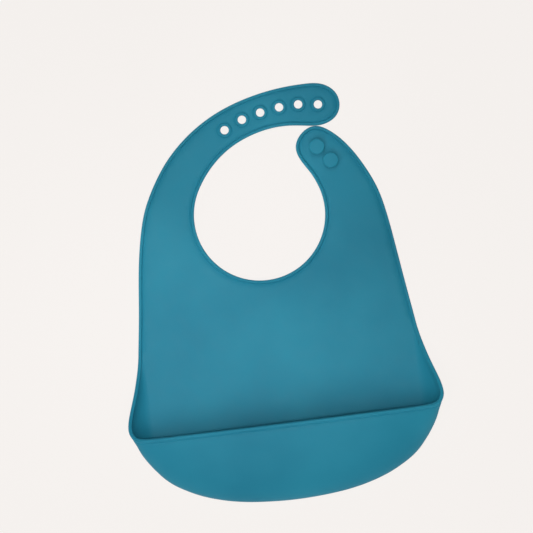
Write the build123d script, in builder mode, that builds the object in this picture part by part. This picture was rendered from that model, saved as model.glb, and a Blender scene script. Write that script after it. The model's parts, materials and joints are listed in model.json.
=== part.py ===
"""Silicone feeding bib with a catch pocket, lying flat on its back.

Millimetres. X runs across the bib, +Y towards the neck, +Z up out of its front face.
The origin is on the flat back face, midway along the length and the width.

The real bib is one moulding. It is made here as its zones: thin sheets, the raised roll along
every edge, the pocket's side and front walls, the eyelets and the studs. Zones that flex against
each other are separate bodies, divided by narrow slots where the silicone bends.
"""

import os
from math import cos, radians, sin

from build123d import *

# Overall shape
HALF_LENGTH = 152.4
SHEET = 1.8  # thickness of the flat sheet and of the pocket's walls
ROLL_WIDTH = 2.4  # raised roll along every edge
ROLL_HEIGHT = 3.0
ROLL_FOOT_HEIGHT = 2.3  # the roll's full width reaches this high
ROLL_STEP = 0.5  # its crown is this much narrower on each side
SLOT = 0.4  # width of the slots between bodies
CUTTER_HEIGHT = 10.0  # more than any sheet or eyelet that it cuts through

# Neck opening
NECK = (-1.6, 60.0)
NECK_RADIUS = 48.6
NECK_RIGHT_ANGLE = 18.0  # the round stretch runs down from here ...
NECK_LEFT_ANGLE = 150.0  # ... and up to here

# Straps
SHOULDER_Y = 70.0  # both straps bend up from this line
LONG_STRAP_FOLDS = (140.0, 112.0, 77.0)  # angles around the neck's centre
STRAP_TOUCH_Y = 120.5  # the straps' tips lie one above and one below this line
STRAP_TOUCH_X = 24.0  # the line starts here, inside the neck opening
STRAP_PARTING = 5.0  # at the shoulders each strap's zone ends this far from the middle

# Eyelets in the long strap, from the inner one to the tip
EYELETS = (
    (-19.6, 125.5),
    (-5.9, 131.6),
    (8.2, 135.2),
    (22.6, 137.4),
    (36.9, 137.8),
    (51.5, 136.0),
)
EYELET_BORE = 3.1
EYELET_RADIUS = 5.3
EYELET_HEIGHT = 2.6
EYELET_ROUND = 0.7

# Studs on the short strap
STUDS = ((46.7, 104.8), (55.6, 93.8))
STUD_STEM = 3.0
STUD_STEM_HEIGHT = 3.0
STUD_CAP = 5.85
STUD_CAP_HEIGHT = 2.2
STUD_CAP_ROUND = 0.8

# Pocket
PANEL_FOLD_Y = -30.0  # the bib folds up here, just above the pocket
MOUTH_Y = -93.8  # the pocket's rim lies over this line
RIM_WIDTH = 2.6
RIM_PROUD = 0.4  # how far the rim stands out of the wall on each side
HEM_SCOOP = 13.0  # how far the pocket's outermost line overhangs its seam
POCKET_DEPTH = 60.0  # from the outermost line to the far end of the front wall
POCKET_HEIGHT = 34.0
HEM_ARCS = ((276, 7), (150, 12), (92, 14), (60, 18), (140, 15))  # radius, turn in degrees
SCOOP_REACH = 7.6  # the front wall's section as a curve's poles, out from its outermost line
SHOULDER_REACH = 11.0
SHOULDER_RISE = 23.0
SIDE_SEAM_X = 99.2  # the side walls curl up from this line
GUSSET_FOOT = 0.45  # how far out and up the poles of a side wall's curve stand, as a share
# Edge of each side wall: y along it, and how far out and how high it stands there
GUSSET_EDGE = (
    (-30.2, 103.3, 3.0),
    (-50.0, 107.5, 6.8),
    (-68.0, 112.9, 13.0),
    (-86.0, 117.0, 20.4),
    (-93.4, 114.6, 23.2),
)

# Outline, counterclockwise, as the points that each smooth stretch passes through
SIDE = ((106.0, -50.0), (103.3, -30.0), (99.1, 0.0), (95.2, 29.3), (91.6, 53.0), (87.4, 70.0))
SHORT_STRAP = (
    SIDE[-1],
    (79.9, 87.0),
    (69.7, 103.4),
    (58.4, 115.1),
    (46.8, 120.3),
    (34.6, 114.0),
    (31.2, 106.3),
    (33.9, 96.0),
    (40.1, 85.7),
)
LONG_STRAP_INNER = ((-20.8, 109.4), (0.8, 119.6), (24.4, 123.1), (40.0, 121.5))
LONG_STRAP_OUTER = (
    (50.0, 120.7),
    (58.4, 122.3),
    (64.6, 126.9),
    (67.4, 134.0),
    (66.2, 141.7),
    (61.4, 147.7),
    (54.2, 151.3),
    (43.0, 152.4),
    (24.3, 151.5),
    (0.8, 147.4),
    (-25.4, 138.2),
    (-49.1, 123.3),
    (-66.1, 106.5),
    (-79.6, 86.0),
    (-87.4, 70.0),
)
SIDE_DIRECTION = (-0.13, 1.0)
SHOULDER_DIRECTION = (-0.34, 1.0)

half_slot = SLOT / 2
far = HALF_LENGTH + 30.0  # past every edge of the bib

os.makedirs("parts", exist_ok=True)


# ---------------------------------------------------------------- flat outline


def around_neck(angle, radius=NECK_RADIUS):
    """A point at an angle around the neck opening's centre."""
    return (NECK[0] + radius * cos(radians(angle)), NECK[1] + radius * sin(radians(angle)))


def down_the_neck(angle):
    """The direction of travel along the neck opening, clockwise, at an angle around it."""
    return (sin(radians(angle)), -cos(radians(angle)))


def mirror_direction(direction):
    """A direction of travel on the bib's other side, where the outline runs the other way."""
    return (direction[0], -direction[1])


def mirrored(points):
    """The same points on the bib's other side, in reverse order."""
    return [(-x, y) for x, y in reversed(points)]


def stretch(points, start, end, inset):
    """One smooth stretch of the outline with given end directions, moved inwards by a distance."""
    guide = Spline(*points, tangents=(start, end), mode=Mode.PRIVATE)
    steps = 3 * (len(points) - 1)
    moved = []
    for step in range(steps + 1):
        along = guide % (step / steps)
        moved.append(guide @ (step / steps) + Vector(-along.Y, along.X) * inset)
    return Spline(*moved, tangents=(start, end))


def flat_area(inset):
    """The bib's flat area above the pocket, with its outline moved inwards by a distance."""
    neck_radius = NECK_RADIUS + inset
    right_side = stretch(SIDE, SIDE_DIRECTION, SHOULDER_DIRECTION, inset)
    short_strap = (*SHORT_STRAP, around_neck(NECK_RIGHT_ANGLE))
    stretch(short_strap, SHOULDER_DIRECTION, down_the_neck(NECK_RIGHT_ANGLE), inset)
    ThreePointArc(
        around_neck(NECK_RIGHT_ANGLE, neck_radius),
        around_neck(-90.0, neck_radius),
        around_neck(NECK_LEFT_ANGLE, neck_radius),
    )
    long_strap = (around_neck(NECK_LEFT_ANGLE), *LONG_STRAP_INNER, *LONG_STRAP_OUTER)
    stretch(
        long_strap, down_the_neck(NECK_LEFT_ANGLE), mirror_direction(SHOULDER_DIRECTION), inset
    )
    left_side = stretch(
        mirrored(SIDE), mirror_direction(SHOULDER_DIRECTION), mirror_direction(SIDE_DIRECTION), inset
    )
    Line(left_side @ 1, right_side @ 0)


def flat_sketch(inset):
    """The flat area as a sketch, with its outline moved inwards by a distance."""
    with BuildSketch() as area:
        with BuildLine():
            flat_area(inset)
        make_face()
    return area.sketch


def band(outer_inset, inner_inset):
    """The band between two inset outlines."""
    with BuildSketch() as strip:
        add(flat_sketch(outer_inset))
        add(flat_sketch(inner_inset), mode=Mode.SUBTRACT)
    return strip.sketch


sheet_area = flat_sketch(ROLL_WIDTH)
roll_foot = band(0.0, ROLL_WIDTH)
roll_crown = band(ROLL_STEP, ROLL_WIDTH - ROLL_STEP)


# ---------------------------------------------------------------- zones


def zone(area, corners):
    """The stretch of a flat area inside a polygon."""
    with BuildSketch() as piece:
        Polygon(*corners, align=None)
        add(area, mode=Mode.INTERSECT)
    return piece.sketch


panel_zone = (
    (-far, PANEL_FOLD_Y + half_slot),
    (far, PANEL_FOLD_Y + half_slot),
    (far, SHOULDER_Y - half_slot),
    (-far, SHOULDER_Y - half_slot),
)
long_strap_zone = (
    (-far, SHOULDER_Y + half_slot),
    (-STRAP_PARTING, SHOULDER_Y + half_slot),
    (STRAP_TOUCH_X, STRAP_TOUCH_Y),
    (far, STRAP_TOUCH_Y),
    (far, far),
    (-far, far),
)
short_strap_zone = (
    (STRAP_PARTING, SHOULDER_Y + half_slot),
    (far, SHOULDER_Y + half_slot),
    (far, STRAP_TOUCH_Y),
    (STRAP_TOUCH_X, STRAP_TOUCH_Y),
)


def roll_in(corners):
    """The raised roll inside a polygon: its foot, and a narrower crown that rounds its top."""
    add(zone(roll_foot, corners))
    extrude(amount=ROLL_FOOT_HEIGHT)
    add(zone(roll_crown, corners))
    extrude(amount=ROLL_HEIGHT)


def fold_plane(angle):
    """The plane across the long strap at an angle around the neck, facing the strap's shoulder."""
    return Plane(
        origin=(*NECK, 0), x_dir=(0, 0, 1), z_dir=(-sin(radians(angle)), cos(radians(angle)), 0)
    )


def cut_link(link):
    """Keep one link of the long strap: link 0 starts at the shoulder, the last one ends at the tip."""
    if link > 0:
        start = fold_plane(LONG_STRAP_FOLDS[link - 1])
        split(bisect_by=start.offset(-half_slot), keep=Keep.BOTTOM)
    if link < len(LONG_STRAP_FOLDS):
        end = fold_plane(LONG_STRAP_FOLDS[link])
        split(bisect_by=end.offset(half_slot), keep=Keep.TOP)


def finish(piece, name):
    """Label a finished piece and write it."""
    piece.label = name
    export_step(piece, f"parts/{name}.step")


# ---------------------------------------------------------------- upper panel

with BuildPart() as upper_panel_sheet:
    add(zone(sheet_area, panel_zone))
    extrude(amount=SHEET)
finish(upper_panel_sheet.part, "upper_panel_sheet")

with BuildPart() as panel_rolls:
    roll_in(panel_zone)
left_roll, neckline_roll, right_roll = panel_rolls.solids().sort_by(Axis.X)
for name, solid in (
    ("upper_edge_roll_left", left_roll),
    ("upper_edge_roll_right", right_roll),
    ("neckline_roll", neckline_roll),
):
    with BuildPart() as panel_roll:
        add(solid)
    finish(panel_roll.part, name)

# ---------------------------------------------------------------- long strap

for link in range(len(LONG_STRAP_FOLDS) + 1):
    with BuildPart() as strap_sheet:
        add(zone(sheet_area, long_strap_zone))
        extrude(amount=SHEET)
        cut_link(link)
        with Locations(*EYELETS):
            Cylinder(EYELET_RADIUS, CUTTER_HEIGHT, mode=Mode.SUBTRACT)
    finish(strap_sheet.part, f"long_strap_sheet_{link + 1}")

    with BuildPart() as strap_roll:
        roll_in(long_strap_zone)
        cut_link(link)
    finish(strap_roll.part, f"long_strap_roll_{link + 1}")

for number, centre in enumerate(EYELETS, start=1):
    with BuildPart() as eyelet:
        with Locations(centre):
            Cylinder(EYELET_RADIUS, EYELET_HEIGHT, align=(Align.CENTER, Align.CENTER, Align.MIN))
            Cylinder(EYELET_BORE, CUTTER_HEIGHT, mode=Mode.SUBTRACT)
        rims = edges().group_by(Axis.Z)[-1]
        fillet(rims, EYELET_ROUND)
    finish(eyelet.part, f"eyelet_{number}")

# ---------------------------------------------------------------- short strap

with BuildPart() as short_strap_sheet:
    add(zone(sheet_area, short_strap_zone))
    extrude(amount=SHEET)
finish(short_strap_sheet.part, "short_strap_sheet")

with BuildPart() as short_strap_roll:
    roll_in(short_strap_zone)
finish(short_strap_roll.part, "short_strap_roll")

for number, centre in enumerate(STUDS, start=1):
    with BuildPart(Plane.XY.offset(SHEET)) as stud:
        with Locations(centre):
            Cylinder(STUD_STEM, STUD_STEM_HEIGHT, align=(Align.CENTER, Align.CENTER, Align.MIN))
        with Locations((*centre, STUD_STEM_HEIGHT)):
            Cylinder(STUD_CAP, STUD_CAP_HEIGHT, align=(Align.CENTER, Align.CENTER, Align.MIN))
        fillet(edges().group_by(Axis.Z)[-1], STUD_CAP_ROUND)
    finish(stud.part, f"stud_{number}")

# ---------------------------------------------------------------- pocket back and sides


def hem_line(inset):
    """The right half of the pocket's outermost line, moved inwards, from the bottom's middle up."""
    start, heading = (0.0, inset - HALF_LENGTH), 0.0
    with BuildLine() as line:
        for radius, turn in HEM_ARCS:
            direction = (cos(radians(heading)), sin(radians(heading)))
            start = JernArc(start, direction, radius - inset, turn) @ 1
            heading += turn
    return line.line


with BuildPart() as pocket_back:
    with BuildSketch():
        with BuildLine():
            add(hem_line(HEM_SCOOP + SLOT))
            mirror(about=Plane.YZ)
            seam_end = hem_line(HEM_SCOOP + SLOT) @ 1
            Polyline(
                (seam_end.X, seam_end.Y),
                (seam_end.X, PANEL_FOLD_Y),
                (-seam_end.X, PANEL_FOLD_Y),
                (-seam_end.X, seam_end.Y),
            )
        make_face()
        Polygon(
            (-SIDE_SEAM_X, PANEL_FOLD_Y - half_slot),
            (-SIDE_SEAM_X, -HALF_LENGTH),
            (SIDE_SEAM_X, -HALF_LENGTH),
            (SIDE_SEAM_X, PANEL_FOLD_Y - half_slot),
            align=None,
            mode=Mode.INTERSECT,
        )
    extrude(amount=SHEET)
finish(pocket_back.part, "pocket_back")


def gusset_section(y, edge_x, edge_z):
    """The side wall's section across the bib: from its seam on the back, curling up to its edge."""
    foot_x = SIDE_SEAM_X + (edge_x - SIDE_SEAM_X) * GUSSET_FOOT
    bend_z = edge_z * GUSSET_FOOT
    inner_x = edge_x - ROLL_WIDTH
    with BuildSketch(Plane(origin=(0, y, 0), x_dir=(1, 0, 0), z_dir=(0, -1, 0))) as section:
        with BuildLine():
            outside = Bezier((SIDE_SEAM_X, 0), (foot_x, 0), (edge_x, bend_z), (edge_x, edge_z))
            inside = Bezier(
                (SIDE_SEAM_X, SHEET), (foot_x - SHEET, SHEET), (inner_x, bend_z), (inner_x, edge_z)
            )
            Line(outside @ 0, inside @ 0)
            Line(outside @ 1, inside @ 1)
        make_face()
    return section.sketch


with BuildPart() as side_gusset:
    for y, edge_x, edge_z in GUSSET_EDGE:
        add(gusset_section(y, edge_x, edge_z))
    loft()
finish(side_gusset.part, "side_gusset_right")

with BuildPart() as left_gusset:
    add(side_gusset.part)
    mirror(about=Plane.YZ, mode=Mode.REPLACE)
finish(left_gusset.part, "side_gusset_left")

# ---------------------------------------------------------------- pocket front


def wall_section(proud):
    """The front wall's section: out from its seam, round the scoop, and back over the pocket."""
    across = Plane(origin=(0, -HALF_LENGTH, 0), x_dir=(0, -1, 0), z_dir=(-1, 0, 0))
    with BuildSketch(across) as section:
        with BuildLine():
            outside = Bezier(
                (-HEM_SCOOP, -proud),
                (SCOOP_REACH, -proud),
                (SHOULDER_REACH + proud, SHOULDER_RISE),
                (-POCKET_DEPTH, POCKET_HEIGHT + proud),
            )
            inside = Bezier(
                (-HEM_SCOOP, SHEET + proud),
                (SCOOP_REACH - SHEET, SHEET + proud),
                (SHOULDER_REACH - SHEET - proud, SHOULDER_RISE - SHEET),
                (-POCKET_DEPTH, POCKET_HEIGHT - SHEET - proud),
            )
            Line(outside @ 0, inside @ 0)
            Line(outside @ 1, inside @ 1)
        make_face()
    return section.sketch


def pocket_shell(proud):
    """The whole front wall, before it is cut off at the mouth."""
    with BuildPart() as shell:
        sweep(sections=wall_section(proud), path=hem_line(0.0))
        mirror(about=Plane.YZ)
    return shell.part


mouth = Plane(origin=(0, MOUTH_Y, 0), x_dir=(1, 0, 0), z_dir=(0, 1, 0))
with BuildPart() as pocket_wall:
    add(pocket_shell(0.0))
    split(bisect_by=mouth.offset(-RIM_WIDTH), keep=Keep.BOTTOM)
finish(pocket_wall.part, "pocket_wall")

with BuildPart() as pocket_rim:
    add(pocket_shell(RIM_PROUD))
    split(bisect_by=mouth, keep=Keep.BOTTOM)
    split(bisect_by=mouth.offset(-RIM_WIDTH), keep=Keep.TOP)
    split(bisect_by=Plane.XY, keep=Keep.TOP)
finish(pocket_rim.part, "pocket_rim")
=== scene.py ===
import json
from math import atan2, cos, pi, radians, sin

import bmesh
import bpy
import numpy as np
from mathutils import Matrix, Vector
from mathutils.geometry import delaunay_2d_cdt

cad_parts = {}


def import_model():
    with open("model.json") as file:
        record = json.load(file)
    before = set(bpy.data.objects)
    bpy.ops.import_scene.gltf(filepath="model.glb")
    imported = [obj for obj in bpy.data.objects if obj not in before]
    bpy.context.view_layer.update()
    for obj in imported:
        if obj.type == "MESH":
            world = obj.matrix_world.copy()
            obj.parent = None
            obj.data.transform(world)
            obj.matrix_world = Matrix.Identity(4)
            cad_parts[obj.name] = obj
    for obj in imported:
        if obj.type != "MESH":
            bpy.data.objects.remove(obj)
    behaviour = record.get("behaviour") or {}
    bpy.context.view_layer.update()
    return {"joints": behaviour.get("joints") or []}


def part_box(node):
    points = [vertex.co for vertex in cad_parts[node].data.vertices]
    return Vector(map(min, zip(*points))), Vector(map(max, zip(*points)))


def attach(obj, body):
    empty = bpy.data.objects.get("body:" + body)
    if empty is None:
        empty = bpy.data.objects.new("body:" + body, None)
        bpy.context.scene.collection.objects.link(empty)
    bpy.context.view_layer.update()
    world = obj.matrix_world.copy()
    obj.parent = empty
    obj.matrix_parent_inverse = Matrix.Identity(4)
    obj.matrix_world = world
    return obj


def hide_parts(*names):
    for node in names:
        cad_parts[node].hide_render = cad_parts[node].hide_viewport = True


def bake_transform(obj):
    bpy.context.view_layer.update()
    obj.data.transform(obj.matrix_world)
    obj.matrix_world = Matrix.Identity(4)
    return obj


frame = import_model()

# The bib is one soft moulding, lying on its back. Its visible skin is built here in millimetres:
# a flat part (the upper panel and both straps) and the pocket, each a closed shell. The flat part
# is then divided at the lines where it bends.

MM = 0.001
ROLL_WIDTH = 2.4
NECK_RADIUS = 48.6  # of the round stretch of the neck opening
JOINTS = {joint["name"]: joint for joint in frame["joints"]}


def size_mm(node):
    """The lowest and highest corner of a CAD node, in millimetres."""
    low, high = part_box(node)
    return np.array(low) / MM, np.array(high) / MM


# ---------------------------------------------------------------- sizes from the frame

sheet = size_mm("upper_panel_sheet")[1][2]
roll_height = size_mm("neckline_roll")[1][2]
neck_low, neck_high = size_mm("neckline_roll")
half_length = -size_mm("pocket_wall")[0][1]
neck = np.array([(neck_low[0] + neck_high[0]) / 2, neck_low[1] + ROLL_WIDTH + NECK_RADIUS])
mouth_y = size_mm("pocket_rim")[1][1]
side_seam_x = size_mm("pocket_back")[1][0]
eyelet_centres = [sum(size_mm(f"eyelet_{n}")) / 2 for n in range(1, 7)]
stud_centres = [sum(size_mm(f"stud_{n}")) / 2 for n in (1, 2)]

# Flat outline, counterclockwise, as the points that each smooth stretch passes through
RIGHT_SIDE = ((106.0, -50.0), (103.3, -30.0), (99.1, 0.0), (95.2, 29.3), (91.6, 53.0), (87.4, 70.0))
SHORT_STRAP = (
    (79.9, 87.0),
    (69.7, 103.4),
    (58.4, 115.1),
    (46.8, 120.48),
    (34.6, 114.0),
    (31.2, 106.3),
    (33.9, 96.0),
    (40.1, 85.7),
)
LONG_STRAP = (
    (-20.8, 109.4),
    (0.8, 119.6),
    (24.4, 123.1),
    (40.0, 121.5),
    (50.0, 120.52),
    (58.4, 122.3),
    (64.6, 126.9),
    (67.4, 134.0),
    (66.2, 141.7),
    (61.4, 147.7),
    (54.2, 151.3),
    (43.0, 152.4),
    (24.3, 151.5),
    (0.8, 147.4),
    (-25.4, 138.2),
    (-49.1, 123.3),
    (-66.1, 106.5),
    (-79.6, 86.0),
    (-86.9, 70.0),
)
LEFT_SIDE = (
    (-86.9, 70.0),
    (-91.5, 53.0),
    (-95.7, 29.3),
    (-99.2, 0.0),
    (-103.3, -30.0),
    (-106.0, -50.0),
)
NECK_RIGHT, NECK_LEFT = 18.0, 150.0  # ends of the neck opening's round stretch, in degrees
SIDE_DIRECTION, SHOULDER_DIRECTION = (-0.13, 1.0), (-0.34, 1.0)

# Pocket
HEM_ARCS = ((276, 7), (150, 12), (102, 14), (53, 18), (140, 15))  # radius, turn in degrees
WALL = ((-13.0, 0.0), (7.6, 0.0), (11.0, 23.0), (-60.0, 34.0))  # poles: outwards, up
FIRST_FRONT_HEADING, LAST_FRONT_HEADING, HEADING_STEP = 2.0, 50.0, 3.0  # of its ribs, in degrees
# Poles of the ribs that turn the corner: seam, foot, shoulder, edge
CORNER_RIBS = (
    ((97.3, -94.6, 0.0), (108.8, -102.2, 0.0), (118.0, -106.9, 17.0), (103.2, -94.0, 25.0)),
    ((98.1, -93.0, 0.0), (109.0, -98.6, 0.0), (117.4, -101.8, 15.0), (108.6, -93.8, 24.2)),
    ((98.7, -91.4, 0.0), (108.9, -94.7, 0.0), (117.4, -96.9, 13.5), (112.6, -92.4, 23.2)),
    ((99.0, -89.4, 0.0), (108.4, -91.0, 0.0), (117.0, -91.7, 12.0), (115.2, -89.5, 22.0)),
)
# Side walls: y, how far out their edge stands and how high
SIDE_EDGE = ((-86.0, 116.3, 20.4), (-68.0, 112.3, 12.6), (-50.0, 107.4, 5.4), (-38.0, 104.8, 1.4))
SIDE_FLAT = ((-30.0, 103.3, 0.0), (-18.0, 101.6, 0.0))
FLAT_REACH = 4.1  # how far in from the edge the flat ribs start
FOOT_SHARE = 0.45  # of a side wall's reach and rise, where its foot ends and its middle stands
UPRIGHT_HEIGHT = 18.0  # a side wall this high stands upright at its edge, and a lower one leans out
SLANT_SHARE = 0.6
CURL_START, CURL_LENGTH = -34.0, 44.0  # along Y, where the edge's bead turns into the pocket's rim

# Section through the edge: distance in from the edge, then for the front and for the back face
# an offset and the share of the bead's rise that it has there
BEAD = (
    (0.0, -0.55, 0.50, 0.90, 0.00),
    (0.12, -0.30, 0.60, 0.40, 0.35),
    (0.35, -0.12, 0.80, 0.10, 0.60),
    (0.7, -0.03, 0.95, 0.00, 0.85),
    (1.2, 0.00, 1.00, 0.00, 1.00),
    (1.7, 0.00, 0.97, 0.00, 0.97),
    (2.1, 0.00, 0.82, 0.00, 0.82),
    (2.35, -0.02, 0.45, 0.00, 0.40),
    (2.5, -0.20, 0.14, 0.00, -0.30),
    (2.65, -0.40, 0.00, 0.00, -0.95),
    (2.9, -0.42, 0.00, 0.00, -1.05),
    (3.2, -0.20, 0.00, 0.00, -0.55),
    (3.6, 0.00, 0.00, 0.00, 0.00),
)
FLAT_RISE = roll_height - sheet  # the bead's rise on the flat part's front face
RIM_RISE = 0.5  # its rise on both faces of the pocket's rim

# Section through an eyelet: radius, height
EYELET = (
    (6.4, 1.80),
    (6.05, 1.70),
    (5.75, 1.45),
    (5.45, 1.45),
    (5.28, 1.85),
    (5.15, 2.20),
    (4.90, 2.48),
    (4.50, 2.60),
    (3.95, 2.60),
    (3.50, 2.50),
    (3.22, 2.25),
    (3.10, 1.85),
    (3.10, 1.20),
    (3.10, 0.60),
    (3.20, 0.20),
    (3.45, 0.00),
    (3.90, 0.00),
)
# Section through a stud, from the middle of its cap to its foot: radius, height
STUD = (
    (0.0, 6.94),
    (2.4, 6.96),
    (4.4, 7.00),
    (5.10, 6.92),
    (5.58, 6.66),
    (5.80, 6.28),
    (5.85, 5.80),
    (5.78, 5.30),
    (5.50, 4.95),
    (5.05, 4.80),
    (3.90, 4.78),
    (3.30, 4.65),
    (3.04, 4.30),
    (3.00, 3.60),
    (3.00, 2.70),
    (3.12, 2.20),
    (3.50, 1.88),
    (4.10, 1.70),
)

# Meshing, in millimetres
STATION_SPACING = 1.8  # along an edge
FILL_SPACING = 3.2  # inside a flat face
LEAST_GAP = 0.7 * FILL_SPACING  # from a point inside to the face's borders
WALL_STEPS = 30
ROUND_STEPS = 64
RIB_SAMPLES = 240
RETURN_SHARES = (0.45, 1.0)  # stretch of a front rib that leans back over the pocket
RETURN_SAMPLES = 400
LEAST_SLANT = 0.4  # sine of the smallest angle that a rib may meet its edge at
WELD = 0.002
CUT_TOLERANCE = 0.0001

# Low waves in which the flat part lies: height, change of phase along X and along Y, phase
WAVES = ((0.30, 0.052, 0.071, 0.6), (0.16, -0.083, 0.047, 2.1))
WAVES_START, WAVES_FADE = -26.0, 40.0  # along Y

# Bends: how far a bend would reach beyond each fold of the long strap
LONG_STRAP_BENDS = (20.0, 18.0, 20.0, 20.0)
CUT_BACK = 0.8  # the skin is divided this far before each fold
STRAPS_PART_X, TIPS_PART_Y = 25.0, 120.5  # the short strap lies right of and below these


# ---------------------------------------------------------------- curves


def cubic(knots, values, start=None, end=None):
    """A smooth cubic curve through values at knots, as a function of the parameter that returns
    positions and derivatives. Without a start or end derivative, that end is free."""
    knots, values = np.asarray(knots, float), np.asarray(values, float)
    count = len(knots)
    gap = np.diff(knots)
    shape = (-1,) + (1,) * (values.ndim - 1)
    step = np.diff(values, axis=0) / gap.reshape(shape)
    matrix = np.zeros((count, count))
    right = np.zeros_like(values)
    for i in range(1, count - 1):
        matrix[i, i - 1 : i + 2] = gap[i], 2 * (gap[i - 1] + gap[i]), gap[i - 1]
        right[i] = 3 * (gap[i] * step[i - 1] + gap[i - 1] * step[i])
    matrix[0, :2] = (2, 1) if start is None else (1, 0)
    right[0] = 3 * step[0] if start is None else start
    matrix[-1, -2:] = (1, 2) if end is None else (0, 1)
    right[-1] = 3 * step[-1] if end is None else end
    slopes = np.linalg.solve(matrix, right.reshape(count, -1)).reshape(values.shape)

    def at(parameter):
        span = np.clip(np.searchsorted(knots, parameter, side="right") - 1, 0, count - 2)
        width = gap[span].reshape(shape)
        u = ((parameter - knots[span]) / gap[span]).reshape(shape)
        a, b, p, q = values[span], values[span + 1], slopes[span] * width, slopes[span + 1] * width
        place = a + u * (p + u * (3 * (b - a) - 2 * p - q + u * (2 * (a - b) + p + q)))
        slope = (p + u * (2 * (3 * (b - a) - 2 * p - q) + 3 * u * (2 * (a - b) + p + q))) / width
        return place, slope

    return at


def ease(share):
    """A share from 0 to 1, starting and ending gently."""
    share = np.clip(share, 0.0, 1.0)
    return share * share * (3 - 2 * share)


def unit(vectors):
    """The same vectors at length 1."""
    vectors = np.asarray(vectors, float)
    return vectors / np.linalg.norm(vectors, axis=-1, keepdims=True)


def stretch(points, start, end):
    """Points and directions along one smooth stretch of the outline, without its last point."""
    points = np.array(points, float)
    knots = np.concatenate([[0], np.cumsum(np.linalg.norm(np.diff(points, axis=0), axis=1))])
    count = round(knots[-1] / STATION_SPACING)
    curve = cubic(knots, points, unit(start), unit(end))
    place, slope = curve(np.linspace(0, knots[-1], count + 1))
    return place[:-1], unit(slope)[:-1]


def around_neck(angle):
    """A point and the clockwise direction of travel at an angle around the neck opening."""
    angle = np.radians(np.asarray(angle, float))
    out = np.stack([np.cos(angle), np.sin(angle)], axis=-1)
    return neck + NECK_RADIUS * out, np.stack([out[..., 1], -out[..., 0]], axis=-1)


def flat_outline():
    """Points along the flat outline, from its right end below the fold round to its left end,
    and the direction of travel at each."""
    right, down_right = around_neck(NECK_RIGHT)
    left, down_left = around_neck(NECK_LEFT)
    shoulder_down = (SHOULDER_DIRECTION[0], -SHOULDER_DIRECTION[1])
    side_down = (SIDE_DIRECTION[0], -SIDE_DIRECTION[1])
    turn = NECK_RIGHT - (NECK_LEFT - 360.0)
    steps = round(radians(turn) * NECK_RADIUS / STATION_SPACING)
    parts = [
        stretch(RIGHT_SIDE, SIDE_DIRECTION, SHOULDER_DIRECTION),
        stretch((RIGHT_SIDE[-1], *SHORT_STRAP, right), SHOULDER_DIRECTION, down_right),
        around_neck(np.linspace(NECK_RIGHT, NECK_RIGHT - turn, steps, endpoint=False)),
        stretch((left, *LONG_STRAP), down_left, shoulder_down),
        stretch(LEFT_SIDE, shoulder_down, side_down),
    ]
    return np.concatenate([p for p, _ in parts]), np.concatenate([d for _, d in parts])


# ---------------------------------------------------------------- surfaces


def edge_columns(surface, normals, front_rise, back_rise):
    """The section's points from the front face, round the edge, to the back face.

    surface[i, k] is the back face's place at station i and distance k, where the first distances
    are the bead's and the rest run down the wall, and normals[i, k] points to the front face."""
    bead = np.array(BEAD)
    walls = np.zeros((surface.shape[1] - len(BEAD), bead.shape[1]))
    section = np.concatenate([bead, walls])
    front = sheet + section[:, 1] + front_rise[:, None] * section[:, 2]
    back = section[:, 3] - back_rise[:, None] * section[:, 4]
    front_points = surface + normals * front[:, :, None]
    back_points = surface + normals * back[:, :, None]
    return np.concatenate([front_points[:, ::-1], back_points], axis=1)


def grid_faces(rows, columns, closed=False):
    """The quads of a grid of points, row by row, closed from the last row to the first if asked."""
    bands = rows if closed else rows - 1
    i, k = np.meshgrid(np.arange(bands), np.arange(columns - 1), indexing="ij")
    a = i * columns + k
    b = ((i + 1) % rows) * columns + k
    return np.stack([a, b, b + 1, a + 1], axis=-1).reshape(-1, 4)


def inside(points, loop):
    """Which points lie inside a closed loop."""
    x, y = points[:, 0, None], points[:, 1, None]
    ax, ay = loop[:, 0], loop[:, 1]
    bx, by = np.roll(ax, -1), np.roll(ay, -1)
    rise = np.where(by == ay, 1.0, by - ay)
    crossed = ((ay > y) != (by > y)) & (x < (bx - ax) * (y - ay) / rise + ax)
    return crossed.sum(axis=1) % 2 == 1


def fill(loop, holes):
    """Even triangles inside a closed loop and outside the holes, as points and faces."""
    low, high = loop.min(axis=0), loop.max(axis=0)
    row_height = FILL_SPACING * cos(pi / 6)
    rows = np.arange(low[1], high[1], row_height)
    spots = [
        (x + (n % 2) * FILL_SPACING / 2, y)
        for n, y in enumerate(rows)
        for x in np.arange(low[0], high[0], FILL_SPACING)
    ]
    spots = np.array(spots)
    spots = spots[inside(spots, loop)]
    borders = np.concatenate([loop, *holes])
    nearest = np.array([np.min(np.hypot(*(borders - spot).T)) for spot in spots])
    spots = spots[nearest > LEAST_GAP]
    for hole in holes:
        spots = spots[~inside(spots, hole)]
    points = np.concatenate([borders, spots])
    edges, first = [], 0
    for ring in (loop, *holes):
        count = len(ring)
        edges += [(first + n, first + (n + 1) % count) for n in range(count)]
        first += count
    made = delaunay_2d_cdt([Vector(p) for p in points], edges, [], 1, 1e-6)
    places = np.array([tuple(p) for p in made[0]])
    faces = np.array(made[2])
    middles = places[faces].mean(axis=1)
    keep = inside(middles, loop)
    for hole in holes:
        keep &= ~inside(middles, hole)
    return places, faces[keep]


def at_height(points, height):
    """Flat points lifted to a height."""
    return np.column_stack([points[:, :2], np.full(len(points), float(height))])


def ring(centre, section):
    """A section turned round a centre: a grid of points with one row for each angle."""
    angles = np.linspace(0, 2 * pi, ROUND_STEPS, endpoint=False)
    radius, height = np.array(section).T
    x = centre[0] + np.outer(np.cos(angles), radius)
    y = centre[1] + np.outer(np.sin(angles), radius)
    return np.stack([x, y, np.broadcast_to(height, x.shape)], axis=-1)


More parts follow.
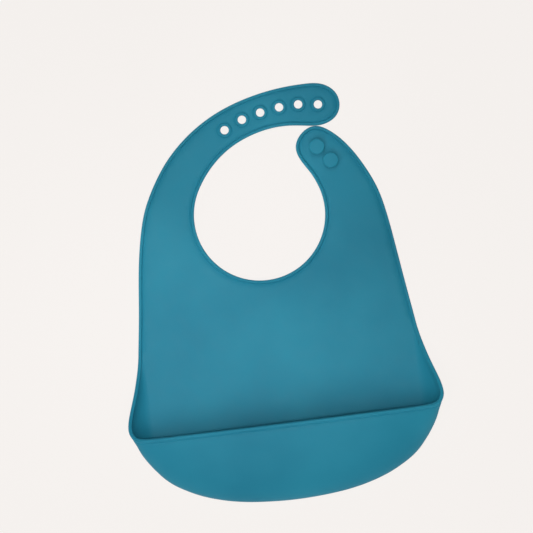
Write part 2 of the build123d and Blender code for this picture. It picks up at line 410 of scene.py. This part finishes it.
def join(parts):
    """One welded mesh from lists of points and faces, in millimetres."""
    shell = bmesh.new()
    for points, faces in parts:
        made = [shell.verts.new(Vector(p) * MM) for p in points]
        for face in faces:
            shell.faces.new([made[n] for n in face])
    bmesh.ops.remove_doubles(shell, verts=shell.verts, dist=WELD * MM)
    return shell


def lift(x, y):
    """How far the flat part rises off the surface under it, in long low waves."""
    waves = sum(height * (1 + sin(p * x + q * y + phase)) for height, p, q, phase in WAVES)
    return ease((y - WAVES_START) / WAVES_FADE) * waves


def flat_part():
    """The upper panel and both straps as one closed shell, open below the fold line."""
    places, along = flat_outline()
    inwards = np.stack([-along[:, 1], along[:, 0]], axis=-1)
    distances = np.array([row[0] for row in BEAD])
    surface = places[:, None, :] + inwards[:, None, :] * distances[None, :, None]
    surface = np.concatenate([surface, np.zeros((*surface.shape[:2], 1))], axis=2)
    normals = np.zeros_like(surface)
    normals[..., 2] = 1.0
    count = len(places)
    edge = edge_columns(surface, normals, np.full(count, FLAT_RISE), np.zeros(count))
    parts = [(edge.reshape(-1, 3), grid_faces(*edge.shape[:2]))]
    rings = [ring(centre, EYELET) for centre in eyelet_centres]
    for grid in rings:
        parts.append((grid.reshape(-1, 3), grid_faces(*grid.shape[:2], closed=True)))
    for column, height in ((0, sheet), (-1, 0.0)):
        points, faces = fill(edge[:, column, :2], [grid[:, column, :2] for grid in rings])
        parts.append((at_height(points, height), faces))
    shell = join(parts)
    for vert in shell.verts:
        vert.co.z += lift(vert.co.x / MM, vert.co.y / MM) * MM
    return shell


# ---------------------------------------------------------------- pocket


def hem(heading):
    """The point of the pocket's outermost line where it heads that many degrees off the X axis."""
    x, y, turned = 0.0, -half_length, 0.0
    for radius, turn in HEM_ARCS:
        end = min(turned + turn, heading)
        x += radius * (sin(radians(end)) - sin(radians(turned)))
        y += radius * (cos(radians(turned)) - cos(radians(end)))
        turned = end
    return np.array([x, y])


def cut_bezier(poles, share):
    """The poles of the first stretch of a cubic curve."""
    poles = np.array(poles, float)
    first = [poles[0]]
    while len(poles) > 1:
        poles = poles[:-1] + share * (poles[1:] - poles[:-1])
        first.append(poles[0])
    return np.array(first)


def bezier(poles, shares):
    """Points along cubic curves: poles[i] are one curve's four poles."""
    a, b, c, d = (poles[:, n, None, :] for n in range(4))
    t = shares[None, :, None]
    return a * (1 - t) ** 3 + 3 * b * t * (1 - t) ** 2 + 3 * c * t * t * (1 - t) + d * t**3


def front_rib(heading):
    """The poles of the front wall's outside, from its seam round the scoop to the rim."""
    start = hem(heading)
    out = np.array([sin(radians(heading)), -cos(radians(heading))])
    poles = np.array([(*(start + s * out), z) for s, z in WALL])
    shares = np.linspace(*RETURN_SHARES, RETURN_SAMPLES)
    ys = bezier(poles[None], shares)[0, :, 1]
    return cut_bezier(poles, float(np.interp(mouth_y, ys, shares)))


def side_rib(y, edge_x, edge_z):
    """The poles of a side wall's outside, from its seam curling up to its edge."""
    foot = side_seam_x + (edge_x - side_seam_x) * FOOT_SHARE
    middle_z = edge_z * FOOT_SHARE
    slack = 1 - min(edge_z / UPRIGHT_HEIGHT, 1.0)
    middle = edge_x - slack * SLANT_SHARE * (edge_x - foot)
    return np.array([(side_seam_x, y, 0), (foot, y, 0), (middle, y, middle_z), (edge_x, y, edge_z)])


def flat_side_rib(y, edge_x, edge_z):
    """The same where the side is still flat."""
    xs = np.linspace(edge_x - FLAT_REACH, edge_x, 4)
    return np.array([(x, y, edge_z) for x in xs])


def pocket_ribs():
    """The poles of the pocket's ribs, from the left side round the front to the right side."""
    headings = np.arange(FIRST_FRONT_HEADING, LAST_FRONT_HEADING + HEADING_STEP / 2, HEADING_STEP)
    right = [front_rib(heading) for heading in headings]
    right += [np.array(rib) for rib in CORNER_RIBS]
    right += [side_rib(*row) for row in SIDE_EDGE]
    right += [flat_side_rib(*row) for row in SIDE_FLAT]
    left = [rib * (-1, 1, 1) for rib in reversed(right)]
    guides = np.array([*left, front_rib(0.0), *right])
    moved = np.linalg.norm(np.diff(guides, axis=0), axis=2).mean(axis=1)
    knots = np.concatenate([[0], np.cumsum(moved)])
    count = round(knots[-1] / STATION_SPACING)
    return cubic(knots, guides)(np.linspace(0, knots[-1], count + 1))[0]


def pocket_surface(ribs):
    """The back (outer) face along each rib, from its edge in to its seam, and its normals."""
    shares = np.linspace(0, 1, RIB_SAMPLES)
    curves = bezier(ribs, shares)[:, ::-1]
    lengths = np.linalg.norm(np.diff(curves, axis=1), axis=2)
    reach = np.concatenate([np.zeros((len(ribs), 1)), np.cumsum(lengths, axis=1)], axis=1)
    edge_way = unit(np.gradient(curves[:, 0], axis=0))
    rib_way = unit(curves[:, 1] - curves[:, 0])
    slant = np.linalg.norm(np.cross(edge_way, rib_way), axis=1)
    distances = np.array([row[0] for row in BEAD])
    surface = []
    for n in range(len(ribs)):
        bead = distances / max(slant[n], LEAST_SLANT)
        wall = np.linspace(bead[-1], reach[n, -1], WALL_STEPS + 1)[1:]
        wanted = np.concatenate([bead, wall])
        surface.append([np.interp(wanted, reach[n], curves[n, :, axis]) for axis in range(3)])
    surface = np.array(surface).transpose(0, 2, 1)
    across = np.gradient(surface, axis=0)
    down = np.gradient(surface, axis=1)
    normals = unit(np.cross(across, down))
    normals[:, -1] = (0, 0, 1)
    surface[:, -1, 2] = 0.0
    return surface, normals


def pocket():
    """The pocket as one closed shell: its back, side walls, front wall and rim."""
    surface, normals = pocket_surface(pocket_ribs())
    curl = ease((CURL_START - surface[:, 0, 1]) / CURL_LENGTH)
    front_rise = FLAT_RISE + (RIM_RISE - FLAT_RISE) * curl
    edge = edge_columns(surface, normals, front_rise, RIM_RISE * curl)
    parts = [(edge.reshape(-1, 3), grid_faces(*edge.shape[:2]))]
    for column, height in ((0, sheet), (-1, 0.0)):
        points, faces = fill(edge[:, column, :2], [])
        parts.append((at_height(points, height), faces))
    return join(parts)


# ---------------------------------------------------------------- pieces


def piece_of(shell, planes, name, pick=None):
    """A closed piece of a shell: what lies ahead of each plane, a plane being a point and a
    direction, and of that only the places that pick chooses."""
    part = shell.copy()
    for point, ahead in planes:
        everything = [*part.verts, *part.edges, *part.faces]
        bmesh.ops.bisect_plane(
            part,
            geom=everything,
            plane_co=point,
            plane_no=ahead,
            clear_inner=True,
            dist=CUT_TOLERANCE * MM,
        )
        if pick is not None:
            drop = [vert for vert in part.verts if not pick(vert.co)]
            bmesh.ops.delete(part, geom=drop, context="VERTS")
        rim = [edge for edge in part.edges if edge.is_boundary]
        caps = bmesh.ops.holes_fill(part, edges=rim)["faces"]
        for edge in rim:
            edge.smooth = False
        bmesh.ops.triangulate(part, faces=caps)
    for face in part.faces:
        face.smooth = True
    bmesh.ops.recalc_face_normals(part, faces=part.faces)
    return new_piece(part, name)


def new_piece(shell, name):
    """A Blender object from a mesh."""
    mesh = bpy.data.meshes.new(name)
    shell.to_mesh(mesh)
    shell.free()
    piece = bpy.data.objects.new(name, mesh)
    bpy.context.scene.collection.objects.link(piece)
    return piece


def fold(name):
    """A joint's point and the direction across it, towards the piece that it moves."""
    joint = JOINTS[name]
    axis = joint["axis"]
    return Vector(joint["pos_m"]), Vector((-axis[1], axis[0], 0.0)).normalized()


def after(name):
    """The plane just before a fold, facing the piece that the joint moves."""
    point, ahead = fold(name)
    return point - ahead * (CUT_BACK * MM), ahead


def before(name):
    """The same plane, facing back."""
    point, ahead = after(name)
    return point, -ahead


def bend(piece):
    """The piece's placement, baked into its mesh."""
    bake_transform(piece)


def of_short_strap(place):
    """Whether a place above the shoulders is on the short strap."""
    return place.x / MM > STRAPS_PART_X and place.y / MM < TIPS_PART_Y


def of_long_strap(place):
    """Whether a place above the shoulders is on the long strap."""
    return not of_short_strap(place)


flat_shell = flat_part()
pocket_shell = pocket()

pocket_skin = piece_of(pocket_shell, [before("panel_fold")], "pocket_skin")
panel_skin = piece_of(flat_shell, [after("panel_fold"), before("short_strap_bend")], "panel_skin")
short_strap_skin = piece_of(
    flat_shell, [after("short_strap_bend")], "short_strap_skin", of_short_strap
)
strap_skins = []
for link in range(1, 5):
    planes = [after("long_strap_bend_1")]
    if link > 1:
        planes.append(after(f"long_strap_bend_{link}"))
    if link < 4:
        planes.append(before(f"long_strap_bend_{link + 1}"))
    strap_skins.append(piece_of(flat_shell, planes, f"long_strap_skin_{link}", of_long_strap))
flat_shell.free()
pocket_shell.free()

studs = []
for number, centre in enumerate(stud_centres, start=1):
    grid = ring(centre, STUD)
    rise = lift(centre[0], centre[1])
    points = grid.reshape(-1, 3) + (0, 0, rise)
    stud_shell = join([(points, grid_faces(*grid.shape[:2], closed=True))])
    bmesh.ops.dissolve_degenerate(stud_shell, dist=CUT_TOLERANCE * MM, edges=stud_shell.edges)
    bmesh.ops.holes_fill(stud_shell, edges=[edge for edge in stud_shell.edges if edge.is_boundary])
    for face in stud_shell.faces:
        face.smooth = True
    bmesh.ops.recalc_face_normals(stud_shell, faces=stud_shell.faces)
    studs.append(new_piece(stud_shell, f"stud_cap_{number}"))


# ---------------------------------------------------------------- material


DEEP_TEAL, PALE_TEAL = (0.012, 0.194, 0.296), (0.019, 0.250, 0.362)


def silicone():
    """Matt moulded silicone: soft sheen, a very fine bloom and slight clouding of its colour."""
    material = bpy.data.materials.new("silicone")
    material.use_nodes = True
    nodes, links = material.node_tree.nodes, material.node_tree.links
    shader = nodes["Principled BSDF"]
    shader.inputs["IOR"].default_value = 1.41
    shader.inputs["Specular IOR Level"].default_value = 0.2
    shader.inputs["Sheen Weight"].default_value = 0.03
    shader.inputs["Sheen Roughness"].default_value = 0.5
    shader.inputs["Sheen Tint"].default_value = (0.35, 0.75, 0.9, 1.0)
    place = nodes.new("ShaderNodeTexCoord")

    def noise(scale, detail, roughness):
        """Noise fixed to the object."""
        node = nodes.new("ShaderNodeTexNoise")
        node.inputs["Scale"].default_value = scale
        node.inputs["Detail"].default_value = detail
        node.inputs["Roughness"].default_value = roughness
        links.new(place.outputs["Object"], node.inputs["Vector"])
        return node.outputs["Fac"]

    def ramp(value, stops):
        """A colour ramp with stops of position and colour."""
        node = nodes.new("ShaderNodeValToRGB")
        elements = node.color_ramp.elements
        for element, (position, colour) in zip(elements, stops):
            element.position = position
            element.color = (*colour, 1.0)
        links.new(value, node.inputs["Fac"])
        return node.outputs["Color"]

    clouds = ramp(noise(11.0, 3.0, 0.5), ((0.30, DEEP_TEAL), (0.70, PALE_TEAL)))
    links.new(clouds, shader.inputs["Base Color"])
    gloss = ramp(noise(160.0, 6.0, 0.6), ((0.25, (0.50,) * 3), (0.75, (0.62,) * 3)))
    links.new(gloss, shader.inputs["Roughness"])
    grain = nodes.new("ShaderNodeBump")
    grain.inputs["Strength"].default_value = 0.10
    grain.inputs["Distance"].default_value = 0.0002
    links.new(noise(1800.0, 3.0, 0.6), grain.inputs["Height"])
    ripple = nodes.new("ShaderNodeBump")
    ripple.inputs["Strength"].default_value = 0.25
    ripple.inputs["Distance"].default_value = 0.0006
    links.new(noise(60.0, 2.0, 0.5), ripple.inputs["Height"])
    links.new(ripple.outputs["Normal"], grain.inputs["Normal"])
    links.new(grain.outputs["Normal"], shader.inputs["Normal"])
    return material


skin_material = silicone()
for piece in (pocket_skin, panel_skin, short_strap_skin, *strap_skins, *studs):
    piece.data.materials.append(skin_material)

# ---------------------------------------------------------------- motion

bend(panel_skin)
bend(short_strap_skin)
for link, (strap_skin, reach) in enumerate(zip(strap_skins, LONG_STRAP_BENDS), start=1):
    bend(strap_skin)
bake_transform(pocket_skin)
for piece in studs:
    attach(piece, "short_strap")

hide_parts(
    "pocket_back", "side_gusset_left", "side_gusset_right", "pocket_wall", "pocket_rim"
)
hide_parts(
    "upper_panel_sheet",
    "upper_edge_roll_left",
    "upper_edge_roll_right",
    "neckline_roll",
)
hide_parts("short_strap_sheet", "short_strap_roll")
for link, strap_skin in enumerate(strap_skins, start=1):
    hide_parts(f"long_strap_sheet_{link}", f"long_strap_roll_{link}")
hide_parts("eyelet_1", "eyelet_2", "eyelet_3")
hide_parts("eyelet_4", "eyelet_5", "eyelet_6")
for number, piece in enumerate(studs, start=1):
    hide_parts(f"stud_{number}")

# ---------------------------------------------------------------- stage

scene = bpy.context.scene
scene.view_settings.view_transform = "Standard"


# The floor is a wide flat dish, in metres
FLOOR_RADIUS = 2.5
FLOOR_BEND = 0.4
FLOOR_RIM = 0.8
FLOOR_DROP = 0.0004  # how far it lies below the bib
FLOOR_PALE = (0.945, 0.909, 0.883)


def pale_floor():
    """A plain pale surface that turns up far away, bright enough that the bib hardly shades it."""
    profile = [(0.01, 0.0), (1.0, 0.0), (FLOOR_RADIUS, 0.0)]
    for angle in np.radians(np.arange(10, 91, 10)):
        profile.append((FLOOR_RADIUS + FLOOR_BEND * sin(angle), FLOOR_BEND * (1 - cos(angle))))
    profile.append((FLOOR_RADIUS + FLOOR_BEND, FLOOR_RIM))
    section = [(radius / MM, (height - FLOOR_DROP) / MM) for radius, height in profile]
    rows = ring((0.0, 0.0), section)
    shell = join([(rows.reshape(-1, 3), grid_faces(*rows.shape[:2], closed=True))])
    middle = [edge for edge in shell.edges if edge.is_boundary and edge.verts[0].co.z < 0]
    bmesh.ops.holes_fill(shell, edges=middle)
    bmesh.ops.recalc_face_normals(shell, faces=shell.faces)
    for face in shell.faces:
        face.smooth = True
    mesh = bpy.data.meshes.new("floor")
    shell.to_mesh(mesh)
    shell.free()
    floor = bpy.data.objects.new("floor", mesh)
    scene.collection.objects.link(floor)
    material = bpy.data.materials.new("pale_floor")
    material.use_nodes = True
    shader = material.node_tree.nodes["Principled BSDF"]
    shader.inputs["Base Color"].default_value = (0.05, 0.05, 0.05, 1.0)
    shader.inputs["Roughness"].default_value = 0.9
    shader.inputs["Specular IOR Level"].default_value = 0.0
    shader.inputs["Emission Color"].default_value = (*FLOOR_PALE, 1.0)
    shader.inputs["Emission Strength"].default_value = 0.93
    mesh.materials.append(material)


def aimed(name, data, place, aim):
    """A light at a place, turned to shine at a point."""
    place, aim = Vector(place), Vector(aim)
    light = bpy.data.objects.new(name, data)
    light.location = place
    light.rotation_mode = "QUATERNION"
    light.rotation_quaternion = (aim - place).to_track_quat("-Z", "Y")
    scene.collection.objects.link(light)


def round_panel(name, place, aim, diameter, power):
    """A round soft light."""
    data = bpy.data.lights.new(name, "AREA")
    data.shape = "DISK"
    data.size = diameter
    data.energy = power
    aimed(name, data, place, aim)


def soft_spot(name, place, aim, radius, reach, power):
    """A spot light that falls off evenly from the point that it aims at."""
    data = bpy.data.lights.new(name, "SPOT")
    data.energy = power
    data.shadow_soft_size = radius
    data.spot_size = 2 * atan2(reach, (Vector(aim) - Vector(place)).length)
    data.spot_blend = 1.0
    aimed(name, data, place, aim)


pale_floor()
round_panel("key_light", (-0.200, -0.346, 1.132), (0.0, 0.0, 0.0), 1.50, 11.0)
soft_spot("left_light", (-0.10, 0.00, 1.90), (-0.10, 0.00, 0.0), 0.10, 0.18, 62.0)
soft_spot("right_light", (0.07, -0.05, 1.90), (0.07, -0.05, 0.0), 0.10, 0.15, 38.0)
soft_spot("strap_light", (0.03, 0.85, 1.50), (0.025, 0.135, 0.0), 0.03, 0.11, 28.0)
world = bpy.data.worlds.new("studio")
world.use_nodes = True
sky = world.node_tree.nodes["Background"]
sky.inputs["Color"].default_value = (1.0, 0.995, 0.985, 1.0)
sky.inputs["Strength"].default_value = 0.03
scene.world = world

CAMERA_PLACE = (-0.0012, 0.0214, 2.0)
CAMERA_TURN = -7.09  # degrees about the upright axis
VIEW_WIDTH = 0.3955  # what the picture spans at the bib
camera_data = bpy.data.cameras.new("camera")
camera_data.lens = camera_data.sensor_width * CAMERA_PLACE[2] / VIEW_WIDTH
camera = bpy.data.objects.new("camera", camera_data)
camera.location = CAMERA_PLACE
camera.rotation_euler = (0.0, 0.0, radians(CAMERA_TURN))
scene.collection.objects.link(camera)
scene.camera = camera

bpy.context.view_layer.update()
